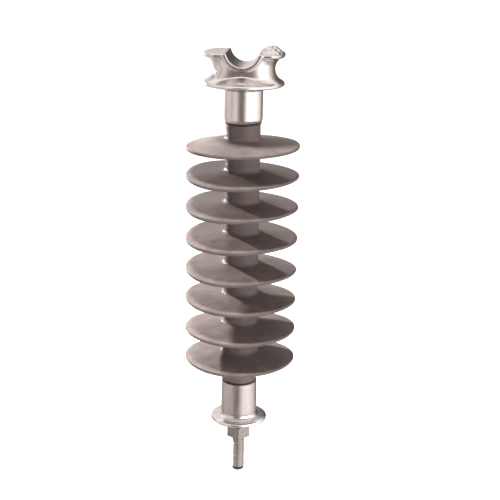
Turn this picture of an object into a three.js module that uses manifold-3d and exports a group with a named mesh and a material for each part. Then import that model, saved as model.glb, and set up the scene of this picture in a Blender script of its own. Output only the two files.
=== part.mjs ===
// Composite line-post insulator with a tie-top head and a short mounting stud.
// Millimetres. Origin at the centre of the base flange's underside, +Z along the
// insulator's axis towards the head, the conductor saddle running along Y.
import * as THREE from 'three';
import Module from 'manifold-3d';

const wasm = await Module();
wasm.setup();

// ---- driving dimensions ----
const GAP = 0.3;              // clearance between neighbouring pieces

// glass-fibre core and rubber housing
const ROD_R = 16.0;
const TRUNK_R = 20.7;
const SHED_R = 68.4;
const SHED_PITCH = 38.2;
const SHED_COUNT = 8;
const LOWEST_SHED_Z = 85.5;
const SHED_RIM = 4.4;         // rim thickness
const SHED_SLOPE = 8;         // degrees, upper face
const SHED_UNDER_SLOPE = 5;   // degrees, lower face
const SHED_FILLET = 6.0;      // upper face into collar
const COLLAR_WALL = 0.7;

// base end
const FLANGE_R = 35.3;
const FLANGE_T = 5.4;
const SEAT_INNER_R = 23.2;    // seat ring on the underside, clear of the washer
const HUB_R = 22.5;
const HUB_TOP = 11.1;
const BASE_SPIGOT_TOP = 23.0;
const BOTTOM_FERRULE_R = 22.4;
const BOTTOM_MOUTH_Z = 52.4;
const SOCKET_DEPTH = 20.3;

// stud, washers and nut (5/8 inch)
const STUD_R = 7.94;
const STUD_TIP_Z = -71.3;
const NUT_ACROSS_FLATS = 28.6;
const NUT_T = 15.5;
const NUT_TURN = 4.5;         // degrees, from a flat facing +X
const WASHER_R = 22.2;
const WASHER_BORE_R = 8.75;
const WASHER_T = 3.4;
const LOCK_R = 13.6;
const LOCK_T = 4.0;

// head end
const TOP_FERRULE_R = 22.9;
const TOP_MOUTH_Z = 381.7;
const HEAD_HUB_Z = 420.8;
const HEAD_SPIGOT_Z = 412.0;
const HEAD_FLANGE_R = 47.8;
const HEAD_FLANGE_Z = 427.5;  // mid-height of the rim
const HEAD_FLANGE_T = 4.5;
const NECK_R = 36.5;          // 73 mm tie-wire neck
const GROOVE_R = 15.6;        // side groove
const GROOVE_Z = 445.2;
const WAIST_HALF_Y = 29.0;
const PLATE_HALF_Y = 31.5;
const PLATE_BOTTOM_Z = 459.9;
const PLATE_TOP_Z = 464.2;
const SADDLE_R = 19.0;        // conductor saddle
const SADDLE_Z = 468.2;
const LIP_WALL = 4.2;
const PAD_TOP_Z = 471.0;      // raised pad on the +X horn

// counterbore in each ferrule mouth, for the housing's reduced end
const END_R = 18.6;
const END_LENGTH = 5.7;

const rad = (deg) => (deg * Math.PI) / 180;

// ---- mesh helpers ----
function toManifold(geometry) {
  const g = geometry.clone();
  g.deleteAttribute('normal');
  g.deleteAttribute('uv');
  const position = g.getAttribute('position');
  const keyed = new Map();
  const verts = [];
  const remap = [];
  for (let i = 0; i < position.count; i++) {
    const p = [position.getX(i), position.getY(i), position.getZ(i)];
    const key = p.map((v) => Math.round(v * 1e4)).join(',');
    if (!keyed.has(key)) {
      keyed.set(key, verts.length / 3);
      verts.push(...p);
    }
    remap.push(keyed.get(key));
  }
  const source = g.index ? Array.from(g.index.array) : remap.map((_, i) => i);
  const tris = [];
  for (let i = 0; i < source.length; i += 3) {
    const [a, b, c] = [remap[source[i]], remap[source[i + 1]], remap[source[i + 2]]];
    if (a !== b && b !== c && c !== a) tris.push(a, b, c);
  }
  return new wasm.Manifold(new wasm.Mesh({
    numProp: 3,
    vertProperties: new Float32Array(verts),
    triVerts: new Uint32Array(tris),
  }));
}

function toGeometry(solid) {
  const mesh = solid.getMesh();
  const positions = new Float32Array(mesh.numVert * 3);
  for (let i = 0; i < mesh.numVert; i++) {
    for (let k = 0; k < 3; k++) positions[3 * i + k] = mesh.vertProperties[i * mesh.numProp + k];
  }
  const g = new THREE.BufferGeometry();
  g.setAttribute('position', new THREE.BufferAttribute(positions, 3));
  g.setIndex(Array.from(mesh.triVerts));
  g.computeVertexNormals();
  return g;
}

// Turned shape about Z from [radius, z] points; closed profiles repeat their first point.
function turned(points, segments = 48) {
  const g = new THREE.LatheGeometry(points.map(([r, z]) => new THREE.Vector2(r, z)), segments);
  g.rotateX(Math.PI / 2);
  let solid = toManifold(g);
  if (solid.volume() < 0) {
    g.scale(1, -1, 1);
    solid = toManifold(g);
  }
  return solid;
}

const ring = (points, segments) => turned([...points, points[0]], segments);

function arc(cr, cz, r, from, to, steps) {
  return Array.from({ length: steps + 1 }, (_, i) => {
    const a = rad(from + ((to - from) * i) / steps);
    return [cr + r * Math.cos(a), cz + r * Math.sin(a)];
  });
}

const boxGeometry = (x0, x1, y0, y1, z0, z1) =>
  new THREE.BoxGeometry(x1 - x0, y1 - y0, z1 - z0)
    .translate((x0 + x1) / 2, (y0 + y1) / 2, (z0 + z1) / 2);

const box = (...sides) => toManifold(boxGeometry(...sides));

// Round bar, lying along X or Y, centred at the given height.
function bar(axis, r, length, segments, y, z) {
  const g = new THREE.CylinderGeometry(r, r, length, segments);
  if (axis === 'x') g.rotateZ(Math.PI / 2);
  return toManifold(g.translate(0, y, z));
}

// Swelling: a ball stretched to three radii.
const swelling = (x, y, z, rx, ry, rz) => toManifold(
  new THREE.SphereGeometry(1, 20, 12).rotateX(Math.PI / 2).scale(rx, ry, rz).translate(x, y, z));

// ---- pieces ----
function coreRod() {
  const z0 = BASE_SPIGOT_TOP + GAP;
  const z1 = HEAD_SPIGOT_Z - GAP;
  return turned([[0, z0], [ROD_R - 1, z0], [ROD_R, z0 + 1], [ROD_R, z1 - 1],
    [ROD_R - 1, z1], [0, z1]], 40);
}

function sheath() {
  const bore = ROD_R + GAP;
  const lower = BOTTOM_MOUTH_Z + GAP;
  const upper = TOP_MOUTH_Z - GAP;
  return ring([[bore, lower - END_LENGTH], [END_R, lower - END_LENGTH], [END_R, lower],
    [TRUNK_R, lower], [TRUNK_R, upper], [END_R, upper], [END_R, upper + END_LENGTH],
    [bore, upper + END_LENGTH]], 48);
}

function shed() {
  const bore = TRUNK_R + GAP;
  const collar = bore + COLLAR_WALL;
  const half = SHED_RIM / 2;
  const slope = rad(SHED_SLOPE);
  const rimC = SHED_R - half;
  const upperZ = (r) => half + (rimC - r) * Math.tan(slope);
  const lowerZ = (r) => -half + (rimC - r) * Math.tan(rad(SHED_UNDER_SLOPE));
  const filletC = collar + SHED_FILLET;
  const filletZ = upperZ(filletC) + SHED_FILLET;
  return ring([[bore, lowerZ(collar) - 3.5], [collar, lowerZ(collar) - 3.5],
    [collar + 0.6, lowerZ(collar) - 1], [collar + 3, lowerZ(collar + 3)],
    ...arc(rimC, 0, half, -80, 80, 3),
    ...arc(filletC, filletZ, SHED_FILLET, -95, -180, 3),
    [bore, filletZ]], 36);
}

function seal(mouthZ, direction) {
  const inner = TRUNK_R + GAP;
  const z = (d) => mouthZ + direction * (GAP + d);
  return ring([[inner, z(0)], [inner + 0.85, z(0)], [inner + 0.7, z(1.0)],
    [inner + 0.25, z(1.9)], [inner, z(2.1)]], 40);
}

// Tube crimped on the core: plain at its seat, drawn in and rounded at its mouth.
function ferrule(outer, seatZ, mouthZ) {
  const d = Math.sign(mouthZ - seatZ);
  const bore = ROD_R + GAP;
  const counter = END_R + GAP;
  return ring([[bore, seatZ], [outer - 0.5, seatZ], [outer, seatZ + d * 0.5],
    [outer, mouthZ - d * 4.4], [outer - 0.35, mouthZ - d * 2.2], [outer - 0.9, mouthZ - d * 0.6],
    [outer - 1.4, mouthZ], [counter, mouthZ], [counter, mouthZ - d * (END_LENGTH + 0.2)],
    [bore, mouthZ - d * (END_LENGTH + 0.2)]], 48);
}

function baseFlange() {
  const half = FLANGE_T / 2;
  const rimC = FLANGE_R - half;
  const fillet = HUB_TOP - FLANGE_T;
  const bore = STUD_R + GAP;
  return turned([[0, SOCKET_DEPTH], [bore, SOCKET_DEPTH], [bore, 0.8], [bore + 0.8, 0],
    [SEAT_INNER_R, 0],
    ...arc(rimC, half, half, -90, 90, 6),
    ...arc(HUB_R + fillet, FLANGE_T + fillet, fillet, -90, -180, 4),
    [ROD_R, HUB_TOP], [ROD_R, BASE_SPIGOT_TOP], [0, BASE_SPIGOT_TOP]], 48);
}

function mountingStud() {
  const top = SOCKET_DEPTH - GAP;
  return turned([[0, STUD_TIP_Z], [STUD_R - 1.6, STUD_TIP_Z], [STUD_R, STUD_TIP_Z + 1.6],
    [STUD_R, top - 1.2], [STUD_R - 1.2, top], [0, top]], 32);
}

function flatWasher() {
  const z1 = -GAP;
  const z0 = z1 - WASHER_T;
  return ring([[WASHER_BORE_R, z0], [WASHER_R - 0.5, z0], [WASHER_R, z0 + 0.5],
    [WASHER_R, z1 - 0.4], [WASHER_R - 0.4, z1], [WASHER_BORE_R, z1]], 48);
}

function lockWasher() {
  const z1 = -2 * GAP - WASHER_T;
  const z0 = z1 - LOCK_T;
  const bore = STUD_R + GAP;
  const coil = ring([[bore, z0], [LOCK_R - 0.4, z0], [LOCK_R, z0 + 0.4],
    [LOCK_R, z1 - 0.4], [LOCK_R - 0.4, z1], [bore, z1]], 36);
  const split = boxGeometry(0, LOCK_R + 3, -0.9, 0.9, -LOCK_T, LOCK_T)
    .rotateX(rad(20)).translate(0, 0, (z0 + z1) / 2);
  return coil.subtract(toManifold(split));
}

function hexNut() {
  const z1 = -3 * GAP - WASHER_T - LOCK_T;
  const z0 = z1 - NUT_T;
  const corner = NUT_ACROSS_FLATS / 2 / Math.cos(rad(30));
  const flat = NUT_ACROSS_FLATS / 2;
  const hex = toManifold(new THREE.CylinderGeometry(corner, corner, NUT_T, 6)
    .rotateX(Math.PI / 2).translate(0, 0, (z0 + z1) / 2));
  const over = corner - flat + 0.6;
  const rise = over * Math.tan(rad(30));
  const chamfered = turned([[0, z0], [flat - 0.6, z0], [corner + 0.01, z0 + rise],
    [corner + 0.01, z1 - rise], [flat - 0.6, z1], [0, z1]], 48);
  const bore = STUD_R + GAP;
  const hole = turned([[0, z0 - 1], [bore + 2, z0 - 1], [bore, z0 + 1],
    [bore, z1 - 1], [bore + 2, z1 + 1], [0, z1 + 1]], 32);
  return hex.intersect(chamfered).subtract(hole);
}

function tieHead() {
  const half = HEAD_FLANGE_T / 2;
  const rimC = HEAD_FLANGE_R - half;
  const centre = NECK_R + GROOVE_R;
  const under = HEAD_FLANGE_Z - half;
  const foot = [[0, HEAD_SPIGOT_Z], [ROD_R, HEAD_SPIGOT_Z], [ROD_R, HEAD_HUB_Z],
    [HUB_R, HEAD_HUB_Z], [HUB_R, under - 1.2], [HUB_R + 1.2, under]];
  const rim = arc(rimC, HEAD_FLANGE_Z, half, -90, 62, 6);
  // flange with its domed upper face
  const dome = turned([...foot, ...rim,
    ...arc(centre, GROOVE_Z, GROOVE_R, -110, -154, 4),
    [30, GROOVE_Z - 4.4], [0, GROOVE_Z]], 48);
  // spool with the concave tie-wire groove, flattened fore and aft
  const spool = turned([[0, GROOVE_Z - 18], [NECK_R + 2, GROOVE_Z - 18],
    ...arc(centre, GROOVE_Z, GROOVE_R, -112, -248, 10), [0, PLATE_BOTTOM_Z + 0.2]], 48);
  const waist = spool.intersect(box(-60, 60, -WAIST_HALF_Y, WAIST_HALF_Y, 420, 470));
  // top plate: rounded ends, straight front and back edges
  const edge = (PLATE_TOP_Z - PLATE_BOTTOM_Z) / 2;
  const plateMid = PLATE_BOTTOM_Z + edge;
  const disc = turned([[0, PLATE_BOTTOM_Z], ...arc(HEAD_FLANGE_R - edge, plateMid, edge, -90, 90, 5),
    [0, PLATE_TOP_Z]], 48);
  const inner = PLATE_HALF_Y - edge;
  const slab = box(-60, 60, -inner, inner, PLATE_BOTTOM_Z, PLATE_TOP_Z)
    .add(bar('x', edge, 120, 12, inner, plateMid)).add(bar('x', edge, 120, 12, -inner, plateMid));
  const plate = disc.intersect(slab);
  // trough wall under the saddle, with rounded mouths
  const along = (r, halfLength, segments) => bar('y', r, 2 * halfLength, segments, 0, SADDLE_Z);
  const lip = along(SADDLE_R + LIP_WALL, PLATE_HALF_Y - 1, 40)
    .add(along(SADDLE_R + LIP_WALL - 1.2, PLATE_HALF_Y + 0.6, 40))
    .intersect(box(-40, 40, -40, 40, 430, PLATE_TOP_Z));
  // plain raised pad and bead on one horn
  const padRise = PAD_TOP_Z - plateMid;
  const pad = swelling(31.5, 9, plateMid, 10.5, 15.5, padRise)
    .add(swelling(33, -11, plateMid, 10.5, 12.5, padRise - 1.8))
    .intersect(box(0, 60, -40, 40, plateMid, PAD_TOP_Z + 1));
  const bead = swelling(43.2, -3, plateMid, 4.4, 12, 4.3);
  return dome.add(waist).add(plate).add(lip).add(pad).add(bead)
    .subtract(along(SADDLE_R, 60, 48));
}

// ---- assembly ----
const insulator = new THREE.Group();
insulator.name = 'line_post_insulator';

function place(name, geometry, [color, metalness, roughness], height = 0, turn = 0) {
  const mesh = new THREE.Mesh(geometry, new THREE.MeshStandardMaterial({ color, metalness, roughness }));
  mesh.name = name;
  mesh.position.z = height;
  mesh.rotation.z = rad(turn);
  insulator.add(mesh);
}

const RUBBER = [0x7f736f, 0.0, 0.55];
const SEALANT = [0x3b3331, 0.0, 0.6];
const FIBRE = [0xc9c08f, 0.0, 0.4];
const GALVANISED = [0xb9b2ae, 0.95, 0.22];
const DULL_STEEL = [0x8e8480, 0.9, 0.4];

place('core_rod', toGeometry(coreRod()), FIBRE);
place('sheath', toGeometry(sheath()), RUBBER);
const shedGeometry = toGeometry(shed());
for (let i = 0; i < SHED_COUNT; i++) {
  place(`shed_${i + 1}`, shedGeometry, RUBBER, LOWEST_SHED_Z + (SHED_COUNT - 1 - i) * SHED_PITCH);
}
place('top_seal', toGeometry(seal(TOP_MOUTH_Z, -1)), SEALANT);
place('bottom_seal', toGeometry(seal(BOTTOM_MOUTH_Z, 1)), SEALANT);
place('tie_head', toGeometry(tieHead()), GALVANISED);
place('top_ferrule', toGeometry(ferrule(TOP_FERRULE_R, HEAD_HUB_Z - GAP, TOP_MOUTH_Z)), GALVANISED);
place('bottom_ferrule', toGeometry(ferrule(BOTTOM_FERRULE_R, HUB_TOP + GAP, BOTTOM_MOUTH_Z)), GALVANISED);
place('base_flange', toGeometry(baseFlange()), GALVANISED);
place('mounting_stud', toGeometry(mountingStud()), DULL_STEEL);
place('flat_washer', toGeometry(flatWasher()), GALVANISED);
place('lock_washer', toGeometry(lockWasher()), DULL_STEEL);
place('hex_nut', toGeometry(hexNut()), DULL_STEEL, 0, NUT_TURN);

export default insulator;
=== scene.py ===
import math

import bmesh
import bpy
import numpy as np
from mathutils import Matrix, Vector


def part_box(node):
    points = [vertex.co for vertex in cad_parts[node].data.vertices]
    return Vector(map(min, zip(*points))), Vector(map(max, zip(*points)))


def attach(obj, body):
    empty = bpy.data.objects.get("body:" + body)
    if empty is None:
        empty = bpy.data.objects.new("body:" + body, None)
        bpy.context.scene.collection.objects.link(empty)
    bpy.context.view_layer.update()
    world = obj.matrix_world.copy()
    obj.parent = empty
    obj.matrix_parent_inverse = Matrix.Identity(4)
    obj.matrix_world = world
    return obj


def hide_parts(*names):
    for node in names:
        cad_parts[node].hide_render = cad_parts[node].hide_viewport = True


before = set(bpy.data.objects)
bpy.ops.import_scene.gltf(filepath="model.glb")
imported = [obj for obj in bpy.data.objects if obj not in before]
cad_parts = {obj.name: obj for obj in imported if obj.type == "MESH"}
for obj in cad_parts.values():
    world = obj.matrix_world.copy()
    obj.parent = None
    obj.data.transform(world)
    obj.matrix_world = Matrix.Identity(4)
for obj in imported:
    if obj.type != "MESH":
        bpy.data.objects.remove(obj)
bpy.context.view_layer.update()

# Composite line-post insulator: every visible piece is turned, swept or carved here, in millimetres,
# on the places and sizes that the frame's solids give, and handed to Blender in metres.

MM = 0.001


# ---- sizes taken from the frame -------------------------------------------------------------

def span(node):
    """Outer radius, lowest and highest level of a CAD node, in millimetres."""
    low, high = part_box(node)
    return high.y / MM, low.z / MM, high.z / MM


SHEDS = [f"shed_{i}" for i in range(1, 9)]
SHED_R = span("shed_1")[0]
SHED_RIM_T = 4.4
SHED_TOP_SLOPE = math.radians(8.0)
SHED_UNDER_SLOPE = math.radians(5.0)
SHED_COLLAR_R = 21.7  # of the frame's sheds, whose collars hang below their undersides
SHED_COLLAR_DROP = 3.5
RIM_SCUFF_R = 65.5  # beyond this radius the sheds' rims are scuffed
TRUNK_R, SHEATH_LOW, SHEATH_HIGH = span("sheath")
CORE_R, CORE_LOW, CORE_HIGH = span("core_rod")
UPPER_FERRULE_R, UPPER_MOUTH_Z, UPPER_SEAT_Z = span("top_ferrule")
LOWER_FERRULE_R, LOWER_SEAT_Z, LOWER_MOUTH_Z = span("bottom_ferrule")
FLANGE_R = span("base_flange")[0]
FLANGE_T = 5.4
FLANGE_RISE = 1.4  # of the plate's top towards its hub
FLANGE_HUB_R = 22.5
FLANGE_HUB_Z = 11.1
FLANGE_SOCKET = 20.3  # depth of the stud's blind hole
FLANGE_SPIGOT_R, FLANGE_SPIGOT_Z = 16.0, 23.0  # boss that enters the lower ferrule
STUD_R, STUD_TIP_Z, STUD_TOP_Z = span("mounting_stud")
THREAD_PITCH = 2.309
THREAD_DEPTH = 1.35
DARK_TIP = 3.0  # length of the stud's bottom end that is coloured dark
WASHER_R, WASHER_LOW, WASHER_HIGH = span("flat_washer")
WASHER_BORE_R = 8.75
SPRING_R, SPRING_LOW, SPRING_HIGH = span("lock_washer")
NUT_LOW, NUT_HIGH = span("hex_nut")[1:]
NUT_FLATS = 28.6
NUT_TURN = math.radians(4.5)
BORE_GAP = 0.3  # between the stud and whatever it passes through


# ---- mesh making ----------------------------------------------------------------------------

def make_piece(name, points, faces, smooth_angle=38):
    """A mesh object from points in millimetres, smooth except at edges sharper than the angle."""
    mesh = bpy.data.meshes.new(name)
    mesh.from_pydata((np.asarray(points, float) * MM).tolist(), [], faces)
    mesh.validate()
    mesh.shade_smooth()
    mesh.set_sharp_from_angle(angle=math.radians(smooth_angle))
    piece = bpy.data.objects.new(name, mesh)
    bpy.context.scene.collection.objects.link(piece)
    return piece


def rounded(corners, closed=True, step=12.0):
    """Outline through (radius, level, fillet) corners, each turned with its fillet in short chords."""
    outline = []
    count = len(corners)
    for i, (r, z, fillet) in enumerate(corners):
        here = np.array([r, z], float)
        if fillet <= 0 or (not closed and i in (0, count - 1)):
            outline.append(here)
            continue
        back = np.array(corners[i - 1][:2], float) - here
        ahead = np.array(corners[(i + 1) % count][:2], float) - here
        back_length, ahead_length = np.hypot(*back), np.hypot(*ahead)
        back, ahead = back / back_length, ahead / ahead_length
        half = 0.5 * math.acos(max(-1.0, min(1.0, float(back @ ahead))))
        reach = min(fillet / math.tan(half), 0.49 * back_length, 0.49 * ahead_length)
        radius = reach * math.tan(half)
        centre = here + (back + ahead) / np.hypot(*(back + ahead)) * radius / math.sin(half)
        start = here + back * reach - centre
        end = here + ahead * reach - centre
        a0, a1 = math.atan2(start[1], start[0]), math.atan2(end[1], end[0])
        turn = (a1 - a0 + math.pi) % (2 * math.pi) - math.pi
        chords = max(2, int(math.degrees(abs(turn)) / step) + 1)
        for k in range(chords + 1):
            a = a0 + turn * k / chords
            outline.append(centre + radius * np.array([math.cos(a), math.sin(a)]))
    return outline


def densified(outline, longest, closed=True):
    """The same outline with its long straight runs cut into shorter ones."""
    result = []
    count = len(outline)
    for i in range(count if closed else count - 1):
        a, b = np.asarray(outline[i], float), np.asarray(outline[(i + 1) % count], float)
        cuts = max(1, int(math.ceil(np.hypot(*(b - a)) / longest)))
        result += [a + (b - a) * k / cuts for k in range(cuts)]
    if not closed:
        result.append(np.asarray(outline[-1], float))
    return result


def even_angles(count):
    return np.arange(count) * 2 * math.pi / count


def angles_with_seams(count, half_width=0.0035):
    """Even angles plus three close ones at each side, where the two mould halves meet."""
    seams = [side + d for side in (0.0, math.pi) for d in (-half_width, 0.0, half_width)]
    spread = [a for a in even_angles(count)
              if all(abs((a - s + math.pi) % (2 * math.pi) - math.pi) > 1.5 * half_width for s in seams)]
    return np.array(sorted(a % (2 * math.pi) for a in spread + seams))


def turned(name, outline, angles, closed=True, shape=None, smooth_angle=38):
    """Turns a (radius, level) outline about Z. shape(radius, level, angle) may move each point."""
    outline = np.asarray(outline, float)
    area = np.sum(outline[:, 0] * np.roll(outline[:, 1], -1) - np.roll(outline[:, 0], -1) * outline[:, 1])
    if area < 0:
        outline = outline[::-1]
    rows, cols = len(outline), len(angles)
    r = np.repeat(outline[:, :1], cols, axis=1)
    z = np.repeat(outline[:, 1:], cols, axis=1)
    a = np.repeat(np.asarray(angles)[None, :], rows, axis=0)
    if shape:
        r, z, a = shape(r, z, a)
    points = np.stack([r * np.cos(a), r * np.sin(a), z], axis=-1).reshape(-1, 3)
    faces = []
    for i in range(rows if closed else rows - 1):
        here, above = i * cols, ((i + 1) % rows) * cols
        for j in range(cols):
            k = (j + 1) % cols
            faces.append((here + j, here + k, above + k, above + j))
    if not closed:  # the outline starts and ends on the axis: close each end with a fan's single point
        faces = faces[cols:-cols]
        points = np.vstack([points, [[0, 0, outline[0][1]], [0, 0, outline[-1][1]]]])
        first, last = len(points) - 2, len(points) - 1
        for j in range(cols):
            k = (j + 1) % cols
            faces.append((first, cols + k, cols + j))
            faces.append((last, (rows - 2) * cols + j, (rows - 2) * cols + k))
        used = np.concatenate([np.arange(cols, (rows - 1) * cols), [first, last]])
        renumber = {int(old): new for new, old in enumerate(used)}
        points = points[used]
        faces = [tuple(renumber[int(v)] for v in face) for face in faces]
    piece = make_piece(name, points, faces, smooth_angle)
    face_outward(piece)
    return piece


def face_outward(piece):
    """Turns a closed mesh's faces outward, whichever way round its outline ran."""
    work = bmesh.new()
    work.from_mesh(piece.data)
    bmesh.ops.recalc_face_normals(work, faces=work.faces)
    work.to_mesh(piece.data)
    work.free()


def blend_min(a, b, k):
    """Union of two distance fields with a fillet of about k."""
    h = np.clip(0.5 + 0.5 * (b - a) / k, 0, 1)
    return b * (1 - h) + a * h - k * h * (1 - h)


def blend_max(a, b, k):
    return -blend_min(-a, -b, k)


def carved(name, field, low, high, cell):
    """Closed quad mesh of the surface where the distance field is zero, in millimetres."""
    axes = [np.arange(lo, hi + cell, cell) for lo, hi in zip(low, high)]
    value = field(*np.meshgrid(*axes, indexing="ij"))
    inside = value < 0
    cells = tuple(n - 1 for n in value.shape)
    corner = [(i, j, k) for i in (0, 1) for j in (0, 1) for k in (0, 1)]

    def at(grid, offset):
        return grid[tuple(slice(o, o + n) for o, n in zip(offset, cells))]

    total = np.zeros(cells + (3,))
    hits = np.zeros(cells)
    for a in corner:
        for axis in range(3):
            if a[axis]:
                continue
            b = tuple(o + (1 if n == axis else 0) for n, o in enumerate(a))
            va, vb = at(value, a), at(value, b)
            cross = at(inside, a) != at(inside, b)
            t = np.where(cross, va / np.where(cross, va - vb, 1), 0)
            for n in range(3):
                total[..., n] += np.where(cross, a[n] + (t if n == axis else 0), 0)
            hits += cross
    live = hits > 0
    number = np.full(cells, -1)
    number[live] = np.arange(live.sum())
    base = np.argwhere(live)
    points = np.array(low) + cell * (base + total[live] / hits[live][:, None])

    faces = []
    for axis in range(3):
        u, v = (axis + 1) % 3, (axis + 2) % 3
        shifted = [slice(1, n) for n in cells]
        shifted[axis] = slice(0, cells[axis])
        a = inside[tuple(shifted)]
        ahead = list(shifted)
        ahead[axis] = slice(1, cells[axis] + 1)
        b = inside[tuple(ahead)]
        for flip, where in ((False, a & ~b), (True, ~a & b)):
            at_cell = np.argwhere(where)
            at_cell[:, u] += 1
            at_cell[:, v] += 1
            ring = []
            for du, dv in ((-1, -1), (0, -1), (0, 0), (-1, 0)):
                step = at_cell.copy()
                step[:, u] += du
                step[:, v] += dv
                ring.append(number[tuple(step.T)])
            quads = np.stack(ring[::-1] if flip else ring, axis=1)
            faces += quads.tolist()

    for _ in range(4):  # slide every point onto the surface itself
        d = 0.02
        gradient = np.stack([
            field(*(points + d * np.eye(3)[n]).T) - field(*(points - d * np.eye(3)[n]).T)
            for n in range(3)], axis=1) / (2 * d)
        size = np.maximum((gradient ** 2).sum(1), 0.2)
        move = field(*points.T)[:, None] * gradient / size[:, None]
        points = points - np.clip(move, -0.5 * cell, 0.5 * cell)
    piece = make_piece(name, points, faces, 60)
    face_outward(piece)
    return piece


# ---- rubber housing -------------------------------------------------------------------------

def mould_seam(rise):
    """Lifts the outer skin in a thin line where the mould halves met."""
    def shape(r, z, a):
        side = np.abs(np.sin(a)) < 1e-6
        outer = r > TRUNK_R - 0.05
        return r + rise * (side & outer), z, a
    return shape


def shed_outline():
    """A shed's section about its own rim level: root fillets, sloping top, round rim, underside."""
    half = SHED_RIM_T / 2
    rim = SHED_R - 0.01
    root = TRUNK_R + 0.04

    def top(r):
        return half + (SHED_R - half - r) * math.tan(SHED_TOP_SLOPE)

    def under(r):
        return -half + (SHED_R - half - r) * math.tan(SHED_UNDER_SLOPE)

    corners = [
        (root - 0.6, under(root) - 5.2, 0), (root, under(root) - 4.6, 0.0),
        (root, under(root), 3.6), (rim, under(rim), 1.9),
        (rim, top(rim), 1.9), (root, top(root), 7.2),
        (root, top(root) + 9.0, 0.0), (root - 0.6, top(root) + 9.8, 0)]
    return densified(rounded(corners, step=9.0), 4.0)


# How each shed has settled, from the top: its rim's mean lift, its tilt and the bearing it rises
# towards, and its two-lobed warp and that warp's bearing (millimetres and degrees from +X).
SHED_SET = [
    (-0.6, 1.8, 2, 0.2, 0), (2.4, 2.2, 84, 1.7, -34), (2.2, 2.4, 84, 1.9, -38),
    (2.1, 2.9, 84, 1.6, -50), (0.1, 1.0, 143, 2.4, -34), (0.4, 1.0, 198, 1.8, -20),
    (-0.7, 1.7, -68, 1.5, -2), (-0.9, 1.5, -88, 1.6, -8)]


def weathersheds():
    outline = shed_outline()
    angles = angles_with_seams(168)
    seam = mould_seam(0.14)
    pieces = []
    for i, (node, settled) in enumerate(zip(SHEDS, SHED_SET)):
        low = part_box(node)[0]
        rise = (SHED_R - SHED_RIM_T / 2 - SHED_COLLAR_R) * math.tan(SHED_UNDER_SLOPE)
        level = low.z / MM + SHED_RIM_T / 2 + SHED_COLLAR_DROP - rise
        lift, tilt, rise_to, warp, warp_to = settled
        rise_to, warp_to = math.radians(rise_to), math.radians(warp_to)

        def shape(r, z, a):
            r, z, a = seam(r, z, a)
            out = np.clip((r - TRUNK_R - 2) / (SHED_R - TRUNK_R - 2), 0, 1) ** 1.4
            sag = lift + tilt * np.cos(a - rise_to) + warp * np.cos(2 * (a - warp_to))
            sag = sag + 0.12 * np.sin(5 * a + 2.1 * i)
            return r, z + level + sag * out, a

        piece = turned(f"weathershed_{i + 1}", outline, angles, shape=shape)
        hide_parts(node)
        pieces.append(piece)
    return pieces


def rubber_sheath():
    corners = [
        (CORE_R + 0.3, SHEATH_LOW, 0), (18.6, SHEATH_LOW, 0.4), (18.6, LOWER_MOUTH_Z + 0.3, 0),
        (TRUNK_R, LOWER_MOUTH_Z + 0.3, 0.4), (TRUNK_R, UPPER_MOUTH_Z - 0.3, 0.4),
        (18.6, UPPER_MOUTH_Z - 0.3, 0), (18.6, SHEATH_HIGH, 0.4), (CORE_R + 0.3, SHEATH_HIGH, 0)]
    piece = turned("rubber_sheath", densified(rounded(corners), 6.0), angles_with_seams(128),
                   shape=mould_seam(0.12))
    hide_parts("sheath")
    return piece


def seal_bead(name, node, mouth, direction):
    """Sealant wiped round the housing where it enters a ferrule."""
    inner = TRUNK_R + 0.05
    corners = [(inner, mouth + direction * 0.1, 0), (inner + 1.15, mouth + direction * 0.1, 0.2),
               (inner + 1.0, mouth + direction * 1.2, 0.8), (inner + 0.2, mouth + direction * 2.3, 0.3),
               (inner, mouth + direction * 2.35, 0)]

    def shape(r, z, a):
        edge = 0.22 * np.sin(3 * a + 0.7) + 0.14 * np.sin(11 * a) + 0.08 * np.sin(23 * a + 1.9)
        lift = np.clip(np.abs(z - mouth) - 0.8, 0, 2) / 1.6
        return r, z + direction * edge * lift, a

    piece = turned(name, rounded(corners), even_angles(144), shape=shape, smooth_angle=50)
    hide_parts(node)
    return piece


def fibre_core():
    corners = [(0, CORE_LOW, 0), (CORE_R, CORE_LOW, 0.8), (CORE_R, CORE_HIGH, 0.8), (0, CORE_HIGH, 0)]
    piece = turned("fibre_core", rounded(corners, closed=False), even_angles(96), closed=False)
    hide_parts("core_rod")
    return piece


# ---- metal fittings -------------------------------------------------------------------------

def ferrule(name, node, outer, seat, mouth):
    """Crimped tube: square at its seat, drawn in and rounded at its mouth, turned true outside."""
    d = 1 if mouth > seat else -1
    bore = CORE_R + 0.3
    counter = 18.9
    corners = [
        (bore, seat, 0), (outer, seat, 0.55), (outer, mouth - d * 4.4, 6.0),
        (outer - 1.3, mouth, 0.9), (counter, mouth, 0.3),
        (counter, mouth - d * 5.9, 0), (bore, mouth - d * 5.9, 0)]
    piece = turned(name, densified(rounded(corners, step=8.0), 3.0), even_angles(192))
    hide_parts(node)
    return piece


def seat_flange():
    """Base flange: a round-edged plate with a filleted hub, bored for the stud."""
    bore = STUD_R + BORE_GAP
    half = FLANGE_T / 2
    corners = [
        (0, FLANGE_SOCKET, 0), (bore, FLANGE_SOCKET, 0.2), (bore, 0, 0.7), (FLANGE_R, 0, half),
        (FLANGE_R, FLANGE_T, half), (FLANGE_HUB_R, FLANGE_T + FLANGE_RISE, 3.6),
        (FLANGE_HUB_R, FLANGE_HUB_Z, 0.5), (FLANGE_SPIGOT_R, FLANGE_HUB_Z, 0),
        (FLANGE_SPIGOT_R, FLANGE_SPIGOT_Z, 0.5), (0, FLANGE_SPIGOT_Z, 0)]
    outline = densified(rounded(corners, closed=False, step=7.0), 4.0, closed=False)
    piece = turned("seat_flange", outline, even_angles(208), closed=False)
    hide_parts("base_flange")
    return piece


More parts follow.
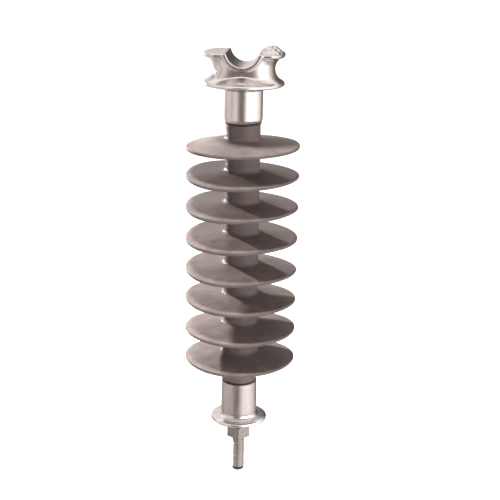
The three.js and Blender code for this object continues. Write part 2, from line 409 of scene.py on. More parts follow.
def threaded_stud():
    """The stud with its rolled right-hand thread, pointed slightly at both ends."""
    turns = 72
    levels = np.arange(STUD_TIP_Z, STUD_TOP_Z + 1e-6, THREAD_PITCH / 12)
    angles = even_angles(turns)
    z, a = np.meshgrid(levels, angles, indexing="ij")
    phase = (z / THREAD_PITCH - a / (2 * math.pi)) % 1.0
    flank = np.clip((np.abs(phase - 0.5) - 0.07) / 0.30, 0, 1)
    crest = STUD_R - THREAD_DEPTH * flank
    chamfer = STUD_R - 1.7 + np.minimum(z - STUD_TIP_Z, STUD_TOP_Z - z) * 1.1
    r = np.minimum(crest, np.maximum(chamfer, STUD_R - 1.9))
    points = np.stack([r * np.cos(a), r * np.sin(a), z], axis=-1).reshape(-1, 3)
    faces = []
    for i in range(len(levels) - 1):
        for j in range(turns):
            k = (j + 1) % turns
            faces.append((i * turns + j, i * turns + k, (i + 1) * turns + k, (i + 1) * turns + j))
    faces.append(tuple(range(turns))[::-1])
    faces.append(tuple(range((len(levels) - 1) * turns, len(levels) * turns)))
    piece = make_piece("threaded_stud", points, faces, 45)
    face_outward(piece)
    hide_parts("mounting_stud")
    return piece


def plain_washer():
    bore = WASHER_BORE_R
    corners = [(bore, WASHER_LOW, 0.3), (WASHER_R, WASHER_LOW, 0.9), (WASHER_R, WASHER_HIGH, 0.35),
               (bore, WASHER_HIGH, 0.3)]
    piece = turned("plain_washer", densified(rounded(corners), 3.0), even_angles(144))
    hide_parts("flat_washer")
    return piece


def spring_washer():
    """One coil of square wire, cut on the slant."""
    inner = STUD_R + BORE_GAP
    section = rounded([(inner, SPRING_LOW, 0.3), (SPRING_R, SPRING_LOW, 0.6),
                       (SPRING_R, SPRING_HIGH, 0.6), (inner, SPRING_HIGH, 0.3)])
    middle = (SPRING_LOW + SPRING_HIGH) / 2
    stations = 120
    gap = math.radians(5.0)
    slant_per_mm = 0.035
    points, faces = [], []
    for s in range(stations + 1):
        a = gap + (2 * math.pi - 2 * gap) * s / stations
        for r, z in section:
            slant = (z - middle) * slant_per_mm
            points.append((r * math.cos(a + slant), r * math.sin(a + slant), z))
    n = len(section)
    for s in range(stations):
        for i in range(n):
            j = (i + 1) % n
            faces.append((s * n + i, s * n + j, (s + 1) * n + j, (s + 1) * n + i))
    faces.append(tuple(range(n)))
    faces.append(tuple(range(stations * n, (stations + 1) * n))[::-1])
    piece = make_piece("spring_washer", points, faces)
    face_outward(piece)
    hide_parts("lock_washer")
    return piece


def stud_nut():
    """Hex nut with both faces chamfered, its corners softened and its bore countersunk."""
    flat = NUT_FLATS / 2
    bore = STUD_R + BORE_GAP
    rows = [  # part of the section, level
        ("bore", NUT_LOW + 1.1), ("sink", NUT_LOW), ("face", NUT_LOW), ("edge", NUT_LOW),
        ("side", NUT_LOW), ("side", NUT_HIGH), ("edge", NUT_HIGH), ("face", NUT_HIGH),
        ("sink", NUT_HIGH), ("bore", NUT_HIGH - 1.1)]
    cols = 360
    angles = even_angles(cols)
    from_flat = (angles - NUT_TURN + math.pi / 6) % (math.pi / 3) - math.pi / 6
    corner = flat / math.cos(math.pi / 6)
    hexagon = np.minimum(flat / np.cos(from_flat), corner - 0.25)
    face_r = flat - 0.5
    slope = math.tan(math.radians(30))
    points = []
    for kind, level in rows:
        into = 1 if level < (NUT_LOW + NUT_HIGH) / 2 else -1
        if kind == "bore":
            r, z = np.full(cols, bore), np.full(cols, level)
        elif kind == "sink":
            r, z = np.full(cols, bore + 1.3), np.full(cols, level)
        elif kind == "face":
            r, z = np.full(cols, face_r - 0.3), np.full(cols, level)
        elif kind == "edge":
            r, z = np.full(cols, face_r + 0.1), np.full(cols, level + into * 0.12)
        else:
            r, z = hexagon, level + into * np.maximum((hexagon - face_r) * slope, 0.15)
        points.append(np.stack([r * np.cos(angles), r * np.sin(angles), z], axis=-1))
    points = np.concatenate(points)
    faces = []
    count = len(rows)
    for i in range(count):
        here, above = i * cols, ((i + 1) % count) * cols
        for j in range(cols):
            k = (j + 1) % cols
            faces.append((here + j, here + k, above + k, above + j))
    piece = make_piece("stud_nut", points, faces, 22)
    face_outward(piece)
    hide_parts("hex_nut")
    return piece


# tie-top head, all in millimetres
HEAD_HUB_R, HEAD_HUB_Z = 22.5, 420.8
HEAD_R = 47.6
HEAD_FLANGE_Z, HEAD_FLANGE_HALF = 427.5, 2.25
GROOVE_CENTRE_R, GROOVE_Z, GROOVE_R = 52.1, 445.2, 15.6
WAIST_HALF = 29.0
SPOOL_Z, SPOOL_HALF = 444.8, 17.3
DOME_R, DOME_Z, DOME_FALL = 29.0, 437.8, 0.55  # the head flange's top falls away beyond this radius
PLATE_Z, PLATE_HALF, PLATE_DEPTH, PLATE_EDGE = 462.05, 2.15, 31.3, 2.0
SADDLE_Z, SADDLE_R, LIP_R = 468.2, 19.0, 24.0


def soft_box(x, y, z, half, radius):
    q = [np.abs(v) - (h - radius) for v, h in zip((x, y, z), half)]
    outside = np.sqrt(sum(np.maximum(v, 0) ** 2 for v in q))
    return outside + np.minimum(np.maximum(np.maximum(q[0], q[1]), q[2]), 0) - radius


def mound(x, y, z, centre, radii):
    q = [(v - c) / r for v, c, r in zip((x, y, z), centre, radii)]
    length = np.sqrt(sum(v * v for v in q))
    return (length - 1) * min(radii)


def head_field(x, y, z):
    r = np.hypot(x, y)
    rho = np.hypot(x, z - SADDLE_Z)
    groove = GROOVE_R - np.hypot(r - GROOVE_CENTRE_R, z - GROOVE_Z)
    spool = blend_max(r - (HEAD_R - 0.7), groove, 1.2)
    spool = np.maximum(spool, np.abs(z - SPOOL_Z) - SPOOL_HALF)
    waist = blend_max(spool, np.abs(y) - WAIST_HALF, 9.0)
    dome_level = DOME_Z - DOME_FALL * np.maximum(r - DOME_R, 0)
    dome_top = (z - dome_level) / math.hypot(1, DOME_FALL)
    dome = blend_max(spool, dome_top, 2.0)
    rim = np.stack([r - (HEAD_R - HEAD_FLANGE_HALF), np.abs(z - HEAD_FLANGE_Z)])
    flange = np.hypot(np.maximum(rim[0], 0), rim[1]) - HEAD_FLANGE_HALF
    hub = blend_max(r - HEAD_HUB_R, np.abs(z - (HEAD_HUB_Z + 3)) - 3, 0.5)
    plan = blend_max(r - HEAD_R, np.abs(y) - PLATE_DEPTH, 3.0) + PLATE_EDGE
    thick = np.abs(z - PLATE_Z) - (PLATE_HALF - PLATE_EDGE)
    plate = np.hypot(np.maximum(plan, 0), np.maximum(thick, 0)) - PLATE_EDGE
    plate = plate + np.minimum(np.maximum(plan, thick), 0)
    mouth = np.abs(y) - (PLATE_DEPTH + 0.6)
    lip = blend_max(blend_max(rho - LIP_R, mouth, 2.2), z - (PLATE_Z + PLATE_HALF), 0.8)
    body = blend_min(waist, dome, 2.2)
    body = blend_min(body, flange, 1.6)
    body = blend_min(body, hub, 1.6)
    body = blend_min(body, plate, 3.0)
    body = blend_min(body, lip, 1.6)
    body = blend_max(body, SADDLE_R - rho, 1.3)
    return blend_min(body, horn_pad(x, y, z), 1.2)


def horn_pad(x, y, z):
    """Plain raised casting pad on one horn: two low swellings with a crease between, and a bead."""
    rear = mound(x, y, z, (32.0, 9.0, 463.0), (11.5, 15.0, 7.4))
    front = mound(x, y, z, (33.0, -11.0, 462.6), (10.0, 12.0, 6.2))
    ridge = soft_box(x - 26.0, y, z - 464.4, (3.0, 22.0, 2.0), 1.6)
    bead = mound(x, y, z, (43.2, -3.0, 462.2), (4.2, 11.5, 4.2))
    ripple = 0.38 * np.sin(0.85 * x + 0.45 * y) * np.sin(0.50 * y - 0.30 * x + 1.0)
    pad = blend_min(blend_min(rear, front, 0.6) + ripple, ridge, 1.2)
    return blend_min(pad, bead, 0.8)


def tie_top():
    piece = carved("tie_top", head_field, (-49.2, -49.2, 419.6), (49.2, 49.2, 472.4),
                   0.8)
    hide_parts("tie_head")
    return piece


# ---- finishes -------------------------------------------------------------------------------

def add_node(tree, kind, at, **values):
    node = tree.nodes.new(kind)
    node.location = at
    for key, value in values.items():
        setattr(node, key, value)
    return node


def new_group(name, inputs, outputs):
    """Node group with named sockets; returns the tree and its two end nodes."""
    group = bpy.data.node_groups.new(name, "ShaderNodeTree")
    for label, kind, value in inputs:
        socket = group.interface.new_socket(name=label, in_out="INPUT", socket_type=kind)
        if value is not None:
            socket.default_value = value
    for label, kind in outputs:
        group.interface.new_socket(name=label, in_out="OUTPUT", socket_type=kind)
    return group, add_node(group, "NodeGroupInput", (-900, 0)), add_node(group, "NodeGroupOutput", (700, 0))


def group_grain():
    """Two sizes of noise mixed: a mask for colour and roughness, and a height for bumps."""
    g, i, o = new_group("surface_grain", [
        ("Scale", "NodeSocketFloat", 100.0), ("Fine Scale", "NodeSocketFloat", 900.0),
        ("Fine Share", "NodeSocketFloat", 0.4), ("Stretch", "NodeSocketVector", (1, 1, 1))],
        [("Mask", "NodeSocketFloat"), ("Height", "NodeSocketFloat")])
    place = add_node(g, "ShaderNodeTexCoord", (-900, 300))
    size = add_node(g, "ShaderNodeVectorMath", (-700, 300), operation="MULTIPLY")
    g.links.new(place.outputs["Object"], size.inputs[0])
    g.links.new(i.outputs["Stretch"], size.inputs[1])
    coarse = add_node(g, "ShaderNodeTexNoise", (-450, 250))
    fine = add_node(g, "ShaderNodeTexNoise", (-450, -50))
    coarse.inputs["Detail"].default_value = 5.0
    fine.inputs["Detail"].default_value = 3.0
    for noise, key in ((coarse, "Scale"), (fine, "Fine Scale")):
        g.links.new(size.outputs[0], noise.inputs["Vector"])
        g.links.new(i.outputs[key], noise.inputs["Scale"])
    mix = add_node(g, "ShaderNodeMix", (-200, 120), data_type="FLOAT")
    g.links.new(i.outputs["Fine Share"], mix.inputs[0])
    g.links.new(coarse.outputs["Fac"], mix.inputs[2])
    g.links.new(fine.outputs["Fac"], mix.inputs[3])
    spread = add_node(g, "ShaderNodeMapRange", (50, 120), interpolation_type="SMOOTHSTEP")
    spread.inputs["From Min"].default_value = 0.32
    spread.inputs["From Max"].default_value = 0.68
    g.links.new(mix.outputs[0], spread.inputs["Value"])
    g.links.new(spread.outputs["Result"], o.inputs["Mask"])
    g.links.new(mix.outputs[0], o.inputs["Height"])
    return g


def group_edge_wear():
    """Mask of the outer edges that handling has rubbed, broken up by noise."""
    g, i, o = new_group("edge_wear", [
        ("Width", "NodeSocketFloat", 0.001), ("Amount", "NodeSocketFloat", 1.0),
        ("Breakup Scale", "NodeSocketFloat", 180.0)], [("Mask", "NodeSocketFloat")])
    bevel = add_node(g, "ShaderNodeBevel", (-650, 200), samples=4)
    g.links.new(i.outputs["Width"], bevel.inputs["Radius"])
    geometry = add_node(g, "ShaderNodeNewGeometry", (-650, -20))
    facing = add_node(g, "ShaderNodeVectorMath", (-430, 120), operation="DOT_PRODUCT")
    g.links.new(bevel.outputs["Normal"], facing.inputs[0])
    g.links.new(geometry.outputs["Normal"], facing.inputs[1])
    edge = add_node(g, "ShaderNodeMapRange", (-220, 120))
    edge.inputs["From Min"].default_value = 0.995
    edge.inputs["From Max"].default_value = 0.90
    g.links.new(facing.outputs["Value"], edge.inputs["Value"])
    place = add_node(g, "ShaderNodeTexCoord", (-650, -260))
    noise = add_node(g, "ShaderNodeTexNoise", (-430, -220))
    noise.inputs["Detail"].default_value = 4.0
    g.links.new(place.outputs["Object"], noise.inputs["Vector"])
    g.links.new(i.outputs["Breakup Scale"], noise.inputs["Scale"])
    broken = add_node(g, "ShaderNodeMapRange", (-220, -200))
    broken.inputs["From Min"].default_value = 0.40
    broken.inputs["From Max"].default_value = 0.60
    broken.inputs["To Min"].default_value = 0.35
    g.links.new(noise.outputs["Fac"], broken.inputs["Value"])
    times = add_node(g, "ShaderNodeMath", (0, 60), operation="MULTIPLY")
    g.links.new(edge.outputs["Result"], times.inputs[0])
    g.links.new(broken.outputs["Result"], times.inputs[1])
    amount = add_node(g, "ShaderNodeMath", (200, 60), operation="MULTIPLY", use_clamp=True)
    g.links.new(times.outputs[0], amount.inputs[0])
    g.links.new(i.outputs["Amount"], amount.inputs[1])
    g.links.new(amount.outputs[0], o.inputs["Mask"])
    return g


def group_settled_dust():
    """Mask of the faces that look up, where dust has settled unevenly."""
    g, i, o = new_group("settled_dust", [
        ("Amount", "NodeSocketFloat", 1.0), ("Patch Scale", "NodeSocketFloat", 60.0)],
        [("Mask", "NodeSocketFloat")])
    geometry = add_node(g, "ShaderNodeNewGeometry", (-650, 150))
    split = add_node(g, "ShaderNodeSeparateXYZ", (-450, 150))
    g.links.new(geometry.outputs["Normal"], split.inputs[0])
    up = add_node(g, "ShaderNodeMapRange", (-250, 150))
    up.inputs["From Min"].default_value = 0.55
    up.inputs["From Max"].default_value = 1.0
    g.links.new(split.outputs["Z"], up.inputs["Value"])
    place = add_node(g, "ShaderNodeTexCoord", (-650, -150))
    noise = add_node(g, "ShaderNodeTexNoise", (-450, -150))
    noise.inputs["Detail"].default_value = 6.0
    g.links.new(place.outputs["Object"], noise.inputs["Vector"])
    g.links.new(i.outputs["Patch Scale"], noise.inputs["Scale"])
    patch = add_node(g, "ShaderNodeMapRange", (-250, -150), interpolation_type="SMOOTHSTEP")
    patch.inputs["From Min"].default_value = 0.42
    patch.inputs["From Max"].default_value = 0.66
    g.links.new(noise.outputs["Fac"], patch.inputs["Value"])
    times = add_node(g, "ShaderNodeMath", (0, 0), operation="MULTIPLY")
    g.links.new(up.outputs["Result"], times.inputs[0])
    g.links.new(patch.outputs["Result"], times.inputs[1])
    amount = add_node(g, "ShaderNodeMath", (200, 0), operation="MULTIPLY", use_clamp=True)
    g.links.new(times.outputs[0], amount.inputs[0])
    g.links.new(i.outputs["Amount"], amount.inputs[1])
    g.links.new(amount.outputs[0], o.inputs["Mask"])
    return g


GRAIN = group_grain()
EDGE_WEAR = group_edge_wear()
DUST = group_settled_dust()


def place_group(tree, group, at, **values):
    node = add_node(tree, "ShaderNodeGroup", at, node_tree=group)
    for key, value in values.items():
        node.inputs[key.replace("_", " ")].default_value = value
    return node


def mix_colour(tree, at, mask, a, b):
    node = add_node(tree, "ShaderNodeMix", at, data_type="RGBA")
    tree.links.new(mask, node.inputs[0])
    for socket, colour in ((node.inputs[6], a), (node.inputs[7], b)):
        if isinstance(colour, tuple):
            socket.default_value = (*colour, 1.0)
        else:
            tree.links.new(colour, socket)
    return node.outputs[2]


def map_value(tree, at, value, low, high):
    node = add_node(tree, "ShaderNodeMapRange", at)
    node.inputs["To Min"].default_value = low
    node.inputs["To Max"].default_value = high
    tree.links.new(value, node.inputs["Value"])
    return node.outputs["Result"]


def finish_material(name, colours, roughness, grain, metallic=0.0, bump=0.0, wear=None, dust=None,
                    coat=0.0, specular=0.5):
    """A finish with grain in colour, roughness and height, and with edge wear and dust where given."""
    material = bpy.data.materials.new(name)
    material.use_nodes = True
    tree = material.node_tree
    shader = tree.nodes["Principled BSDF"]
    shader.inputs["Metallic"].default_value = metallic
    shader.inputs["Specular IOR Level"].default_value = specular
    if coat:
        shader.inputs["Coat Weight"].default_value = coat
        shader.inputs["Coat Roughness"].default_value = 0.25
    texture = place_group(tree, GRAIN, (-900, 0), **grain)
    colour = mix_colour(tree, (-600, 200), texture.outputs["Mask"], *colours)
    rough = map_value(tree, (-600, -100), texture.outputs["Mask"], *roughness)
    if wear:
        rubbed = place_group(tree, EDGE_WEAR, (-900, 400), **wear["mask"])
        colour = mix_colour(tree, (-350, 250), rubbed.outputs["Mask"], colour, wear["colour"])
        polish = add_node(tree, "ShaderNodeMix", (-350, -100), data_type="FLOAT")
        tree.links.new(rubbed.outputs["Mask"], polish.inputs[0])
        tree.links.new(rough, polish.inputs[2])
        polish.inputs[3].default_value = wear["roughness"]
        rough = polish.outputs[0]
    if dust:
        settled = place_group(tree, DUST, (-900, 650), **dust["mask"])
        colour = mix_colour(tree, (-150, 300), settled.outputs["Mask"], colour, dust["colour"])
        matt = add_node(tree, "ShaderNodeMix", (-150, -100), data_type="FLOAT")
        tree.links.new(settled.outputs["Mask"], matt.inputs[0])
        tree.links.new(rough, matt.inputs[2])
        matt.inputs[3].default_value = dust["roughness"]
        rough = matt.outputs[0]
    tree.links.new(colour, shader.inputs["Base Color"])
    tree.links.new(rough, shader.inputs["Roughness"])
    if bump:
        relief = add_node(tree, "ShaderNodeBump", (-300, -350))
        relief.inputs["Distance"].default_value = bump
        relief.inputs["Strength"].default_value = 1.0
        tree.links.new(texture.outputs["Height"], relief.inputs["Height"])
        tree.links.new(relief.outputs["Normal"], shader.inputs["Normal"])
    return material


def matt_rims(material, radius, roughness):
    """Beyond the radius, in metres, the moulded rims are scuffed and duller."""
    tree = material.node_tree
    shader = tree.nodes["Principled BSDF"]
    place = add_node(tree, "ShaderNodeTexCoord", (-900, -500))
    flat = add_node(tree, "ShaderNodeVectorMath", (-700, -500), operation="MULTIPLY")
    flat.inputs[1].default_value = (1, 1, 0)
    tree.links.new(place.outputs["Object"], flat.inputs[0])
    reach = add_node(tree, "ShaderNodeVectorMath", (-520, -500), operation="LENGTH")
    tree.links.new(flat.outputs[0], reach.inputs[0])
    rim = add_node(tree, "ShaderNodeMapRange", (-340, -500))
    rim.inputs["From Min"].default_value = radius
    rim.inputs["From Max"].default_value = radius + 0.0015
    tree.links.new(reach.outputs["Value"], rim.inputs["Value"])
    dull = add_node(tree, "ShaderNodeMix", (-120, -500), data_type="FLOAT")
    tree.links.new(rim.outputs["Result"], dull.inputs[0])
    tree.links.new(shader.inputs["Roughness"].links[0].from_socket, dull.inputs[2])
    dull.inputs[3].default_value = roughness
    tree.links.new(dull.outputs[0], shader.inputs["Roughness"])


def dark_tip(material, level):
    """Below the level, in metres, the stud's colour is mixed towards dark."""
    tree = material.node_tree
    shader = tree.nodes["Principled BSDF"]
    place = add_node(tree, "ShaderNodeTexCoord", (-900, -500))
    split = add_node(tree, "ShaderNodeSeparateXYZ", (-700, -500))
    tree.links.new(place.outputs["Object"], split.inputs[0])
    tip = add_node(tree, "ShaderNodeMapRange", (-500, -500), interpolation_type="SMOOTHSTEP")
    tip.inputs["From Min"].default_value = level + 0.0022
    tip.inputs["From Max"].default_value = level
    tree.links.new(split.outputs["Z"], tip.inputs["Value"])
    colour_above_tip = shader.inputs["Base Color"].links[0].from_socket
    colour = mix_colour(tree, (0, 500), tip.outputs["Result"], colour_above_tip, (0.13, 0.11, 0.105))
    tree.links.new(colour, shader.inputs["Base Color"])


silicone = finish_material(
    "silicone_rubber", ((0.122, 0.095, 0.087), (0.158, 0.126, 0.117)), (0.38, 0.48),
    dict(Scale=70.0, Fine_Scale=1300.0, Fine_Share=0.35), bump=0.00006, specular=0.30,
    wear=dict(mask=dict(Width=0.0012, Amount=0.4), colour=(0.19, 0.16, 0.15), roughness=0.60),
    dust=dict(mask=dict(Amount=0.40, Patch_Scale=55.0), colour=(0.22, 0.19, 0.18), roughness=0.7))

matt_rims(silicone, RIM_SCUFF_R * MM, roughness=0.75)

# The sealant beads are real, but their near-black colour is painted shade for the shadow line under each
# ferrule's mouth.
sealant = finish_material(
    "sealant", ((0.022, 0.017, 0.016), (0.035, 0.028, 0.026)), (0.38, 0.55),
    dict(Scale=220.0, Fine_Scale=1600.0, Fine_Share=0.5), bump=0.00012)

fibre = finish_material(
    "glass_fibre", ((0.55, 0.50, 0.30), (0.70, 0.66, 0.44)), (0.25, 0.40),
    dict(Scale=300.0, Fine_Scale=2400.0, Fine_Share=0.5, Stretch=(1, 1, 0.03)), bump=0.00004, coat=0.3)

head_zinc = finish_material(
    "bright_galvanised_casting", ((0.60, 0.555, 0.535), (0.76, 0.725, 0.705)), (0.14, 0.24),
    dict(Scale=85.0, Fine_Scale=700.0, Fine_Share=0.18), metallic=1.0, bump=0.00022,
    wear=dict(mask=dict(Width=0.0014, Amount=0.6), colour=(0.86, 0.84, 0.82), roughness=0.12),
    dust=dict(mask=dict(Amount=0.22, Patch_Scale=70.0), colour=(0.50, 0.45, 0.42), roughness=0.45))

ferrule_zinc = finish_material(
    "bright_galvanised_ferrule", ((0.60, 0.555, 0.535), (0.73, 0.69, 0.67)), (0.12, 0.22),
    dict(Scale=60.0, Fine_Scale=900.0, Fine_Share=0.2, Stretch=(1, 1, 0.25)), metallic=1.0, bump=0.00010,
    wear=dict(mask=dict(Width=0.0008, Amount=0.7), colour=(0.84, 0.82, 0.80), roughness=0.12))

lower_ferrule_zinc = finish_material(
    "dull_galvanised_ferrule", ((0.42, 0.375, 0.36), (0.56, 0.515, 0.50)), (0.29, 0.41),
    dict(Scale=75.0, Fine_Scale=800.0, Fine_Share=0.25, Stretch=(1, 1, 0.25)), metallic=1.0, bump=0.00012,
    wear=dict(mask=dict(Width=0.0009, Amount=0.8), colour=(0.76, 0.73, 0.71), roughness=0.22))

flange_zinc = finish_material(
    "bright_galvanised_flange", ((0.66, 0.63, 0.61), (0.80, 0.775, 0.76)), (0.07, 0.15),
    dict(Scale=70.0, Fine_Scale=700.0, Fine_Share=0.15), metallic=1.0, bump=0.00008,
    wear=dict(mask=dict(Width=0.0010, Amount=0.5), colour=(0.88, 0.86, 0.84), roughness=0.08))

nut_zinc = finish_material(
    "weathered_galvanised_nut", ((0.235, 0.205, 0.198), (0.33, 0.295, 0.285)), (0.30, 0.42),
    dict(Scale=170.0, Fine_Scale=1500.0, Fine_Share=0.4), metallic=1.0, bump=0.00006,
    wear=dict(mask=dict(Width=0.0006, Amount=0.9), colour=(0.50, 0.46, 0.45), roughness=0.26))

stud_zinc = finish_material(
    "satin_galvanised_stud", ((0.46, 0.41, 0.395), (0.60, 0.55, 0.53)), (0.38, 0.52),
    dict(Scale=170.0, Fine_Scale=1500.0, Fine_Share=0.4), metallic=1.0, bump=0.00006,
    wear=dict(mask=dict(Width=0.0006, Amount=0.9), colour=(0.66, 0.62, 0.60), roughness=0.26))
dark_tip(stud_zinc, (STUD_TIP_Z + DARK_TIP) * MM)

# The washers' near-black base colour is painted shade. It stands for the shadow between the flange and the
# nut, not for weathering.
washer_painted_shade = finish_material(
    "washer_dark_as_painted_shade", ((0.060, 0.050, 0.048), (0.12, 0.10, 0.095)), (0.40, 0.55),
    dict(Scale=220.0, Fine_Scale=1500.0, Fine_Share=0.4), metallic=1.0, bump=0.00006,
    wear=dict(mask=dict(Width=0.0005, Amount=0.8), colour=(0.30, 0.27, 0.26), roughness=0.32))



# ---- assembly -------------------------------------------------------------------------------

def finished(piece, material, body):
    piece.data.materials.clear()
    piece.data.materials.append(material)
    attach(piece, body)


for shed in weathersheds():
    finished(shed, silicone, "insulator")
finished(rubber_sheath(), silicone, "insulator")
finished(fibre_core(), fibre, "insulator")
finished(seal_bead("upper_seal", "top_seal", UPPER_MOUTH_Z, -1), sealant, "insulator")
finished(seal_bead("lower_seal", "bottom_seal", LOWER_MOUTH_Z, 1), sealant, "insulator")
finished(tie_top(), head_zinc, "insulator")
finished(ferrule("upper_ferrule", "top_ferrule", UPPER_FERRULE_R, UPPER_SEAT_Z, UPPER_MOUTH_Z),
         ferrule_zinc, "insulator")
finished(ferrule("lower_ferrule", "bottom_ferrule", LOWER_FERRULE_R, LOWER_SEAT_Z, LOWER_MOUTH_Z),
         lower_ferrule_zinc, "insulator")
finished(seat_flange(), flange_zinc, "insulator")
finished(threaded_stud(), stud_zinc, "insulator")
finished(plain_washer(), washer_painted_shade, "washers")
finished(spring_washer(), washer_painted_shade, "washers")
finished(stud_nut(), nut_zinc, "nut")


# ---- studio ---------------------------------------------------------------------------------

def pale_floor():
    """A pale floor just under the stud's tip, which the camera sees as plain white."""
    side = 30.0
    level = STUD_TIP_Z * MM - 0.0005
    mesh = bpy.data.meshes.new("studio_floor")
    mesh.from_pydata([(-side, -side, level), (side, -side, level), (side, side, level), (-side, side, level)],
                     [], [(0, 1, 2, 3)])
    floor = bpy.data.objects.new("studio_floor", mesh)
    bpy.context.scene.collection.objects.link(floor)
    material = bpy.data.materials.new("white_sweep")
    material.use_nodes = True
    tree = material.node_tree
    shader = tree.nodes["Principled BSDF"]
    shader.inputs["Base Color"].default_value = (0.45, 0.44, 0.435, 1)
    shader.inputs["Roughness"].default_value = 0.9
    shader.inputs["Emission Color"].default_value = (1.0, 0.995, 0.99, 1)
    ray = add_node(tree, "ShaderNodeLightPath", (-300, -200))
    tree.links.new(ray.outputs["Is Camera Ray"], shader.inputs["Emission Strength"])
    mesh.materials.append(material)
    floor.visible_glossy = False


def soft_light(name, place, width, height, power):
    """A rectangular lamp, unseen by the camera and turned to the middle of the insulator."""
    data = bpy.data.lights.new(name, "AREA")
    data.shape = "RECTANGLE"
    data.size, data.size_y = width, height
    data.energy = power
    lamp = bpy.data.objects.new(name, data)
    lamp.location = place
    lamp.rotation_mode = "QUATERNION"
    lamp.rotation_quaternion = (MIDDLE - Vector(place)).to_track_quat("-Z", "Y")
    bpy.context.scene.collection.objects.link(lamp)
    lamp.visible_camera = False
    return lamp


# Brightness of the studio's walls by bearing from the front (-Y), positive towards +X: a broad
# white screen on the right, a duller one on the left, a dark gap in front and a dark back on the right.
WALLS = [(-180, 0.30), (-174, 0.80), (-160, 0.95), (-125, 0.62), (-92, 0.95), (-66, 0.80), (-45, 1.00),
         (-30, 0.72), (-18, 0.36), (-6, 0.27), (5, 0.42), (17, 1.10), (28, 2.00), (66, 2.00), (95, 1.50),
         (114, 1.10), (136, 0.44), (156, 0.14), (176, 0.12), (180, 0.30)]
WALL_WHITE = 2.0  # strength of the brightest wall; the ceiling and the dark below are shares of it
CEILING = (0.64, 0.625, 0.62)
CEILING_FROM, CEILING_TO = 0.42, 0.68  # the ceiling takes over between these heights of a direction
BELOW = (0.30, 0.270, 0.264)
BELOW_FROM, BELOW_TO = -0.80, -0.45  # and the dark below between these
FILL_SHARE = 0.29  # of the room's light that matt surfaces receive


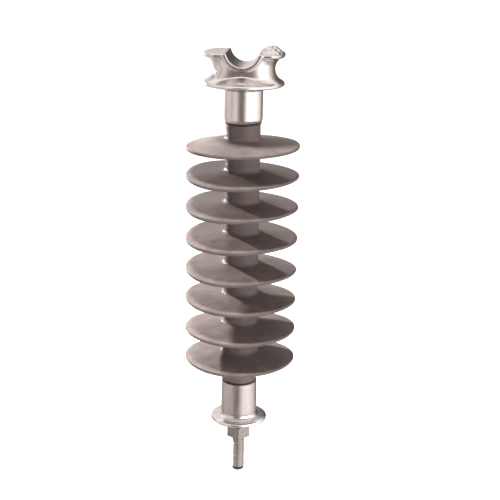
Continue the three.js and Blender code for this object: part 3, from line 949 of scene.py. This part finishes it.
def studio_world():
    """The room that the fittings mirror: walls by bearing, a ceiling above and a dark floor below."""
    world = bpy.data.worlds.new("studio")
    world.use_nodes = True
    tree = world.node_tree
    toward = add_node(tree, "ShaderNodeTexCoord", (-1100, 0))
    split = add_node(tree, "ShaderNodeSeparateXYZ", (-900, 0))
    tree.links.new(toward.outputs["Generated"], split.inputs[0])
    front = add_node(tree, "ShaderNodeMath", (-720, -100), operation="MULTIPLY")
    front.inputs[1].default_value = -1.0
    tree.links.new(split.outputs["Y"], front.inputs[0])
    bearing = add_node(tree, "ShaderNodeMath", (-540, 0), operation="ARCTAN2")
    tree.links.new(split.outputs["X"], bearing.inputs[0])
    tree.links.new(front.outputs[0], bearing.inputs[1])
    turn = add_node(tree, "ShaderNodeMapRange", (-360, 0))
    turn.inputs["From Min"].default_value = -math.pi
    turn.inputs["From Max"].default_value = math.pi
    tree.links.new(bearing.outputs[0], turn.inputs["Value"])
    walls = add_node(tree, "ShaderNodeValToRGB", (-180, 0))
    ramp = walls.color_ramp
    ramp.interpolation = "CARDINAL"
    while len(ramp.elements) < len(WALLS):
        ramp.elements.new(0.5)
    for stop, (degrees, bright) in zip(ramp.elements, WALLS):
        share = bright / WALL_WHITE
        warm = 1 - share
        stop.position = (degrees + 180) / 360
        stop.color = (share, share * (1 - 0.16 * warm), share * (1 - 0.20 * warm), 1)
    tree.links.new(turn.outputs["Result"], walls.inputs[0])
    above = add_node(tree, "ShaderNodeMapRange", (-360, -300), interpolation_type="SMOOTHSTEP")
    above.inputs["From Min"].default_value = CEILING_FROM
    above.inputs["From Max"].default_value = CEILING_TO
    tree.links.new(split.outputs["Z"], above.inputs["Value"])
    room = mix_colour(tree, (60, -100), above.outputs["Result"], walls.outputs["Color"], CEILING)
    below = add_node(tree, "ShaderNodeMapRange", (-360, -520), interpolation_type="SMOOTHSTEP")
    below.inputs["From Min"].default_value = BELOW_TO
    below.inputs["From Max"].default_value = BELOW_FROM
    tree.links.new(split.outputs["Z"], below.inputs["Value"])
    room = mix_colour(tree, (240, -200), below.outputs["Result"], room, BELOW)
    back = tree.nodes["Background"]
    tree.links.new(room, back.inputs["Color"])
    ray = add_node(tree, "ShaderNodeLightPath", (-540, 300))
    strength = add_node(tree, "ShaderNodeMapRange", (-180, 300))
    strength.inputs["To Min"].default_value = WALL_WHITE
    strength.inputs["To Max"].default_value = WALL_WHITE * FILL_SHARE
    tree.links.new(ray.outputs["Is Diffuse Ray"], strength.inputs["Value"])
    tree.links.new(strength.outputs["Result"], back.inputs["Strength"])
    bpy.context.scene.world = world


MIDDLE = Vector((0.0, 0.0, 0.22))
KEY = (-0.520, 0.520, 0.435)  # near and low, so that each shed throws a crisp shadow on the next
KEY_SIZE = 0.035

pale_floor()
studio_world()
soft_light("key_back_left", KEY, KEY_SIZE, KEY_SIZE, 29.0).visible_glossy = False
soft_light("key_glint", KEY, KEY_SIZE, KEY_SIZE, 6.0).visible_diffuse = False
soft_light("high_front_left", (-0.33, -0.28, 2.0), 0.30, 0.30, 58.0).visible_glossy = False
soft_light("fill_right", (1.00, -1.15, 0.36), 0.20, 0.60, 15.0).visible_glossy = False
bpy.context.scene.view_settings.view_transform = "Standard"


# ---- camera ---------------------------------------------------------------------------------

AZIMUTH = math.radians(4.5)
DISTANCE, HEIGHT = 1.3530, 0.6274
PITCH, YAW, ROLL = (math.radians(v) for v in (16.636, 0.457, 1.064))
SENSOR = 36.0
FOCAL_IN_WIDTHS = 2.30734


def studio_camera():
    data = bpy.data.cameras.new("studio_camera")
    data.sensor_width = SENSOR
    data.lens = FOCAL_IN_WIDTHS * SENSOR
    data.clip_start, data.clip_end = 0.05, 100.0
    camera = bpy.data.objects.new("studio_camera", data)
    bpy.context.scene.collection.objects.link(camera)
    forward = Vector((math.sin(YAW) * math.cos(PITCH), math.cos(YAW) * math.cos(PITCH), -math.sin(PITCH)))
    right = forward.cross(Vector((0, 0, 1))).normalized()
    up = right.cross(forward)
    x_axis = math.cos(ROLL) * right + math.sin(ROLL) * up
    y_axis = math.cos(ROLL) * up - math.sin(ROLL) * right
    facing = Matrix((x_axis, y_axis, -forward)).transposed().to_4x4()
    facing.translation = Vector((0, -DISTANCE, HEIGHT))
    camera.matrix_world = Matrix.Rotation(AZIMUTH, 4, "Z") @ facing
    bpy.context.scene.camera = camera


studio_camera()
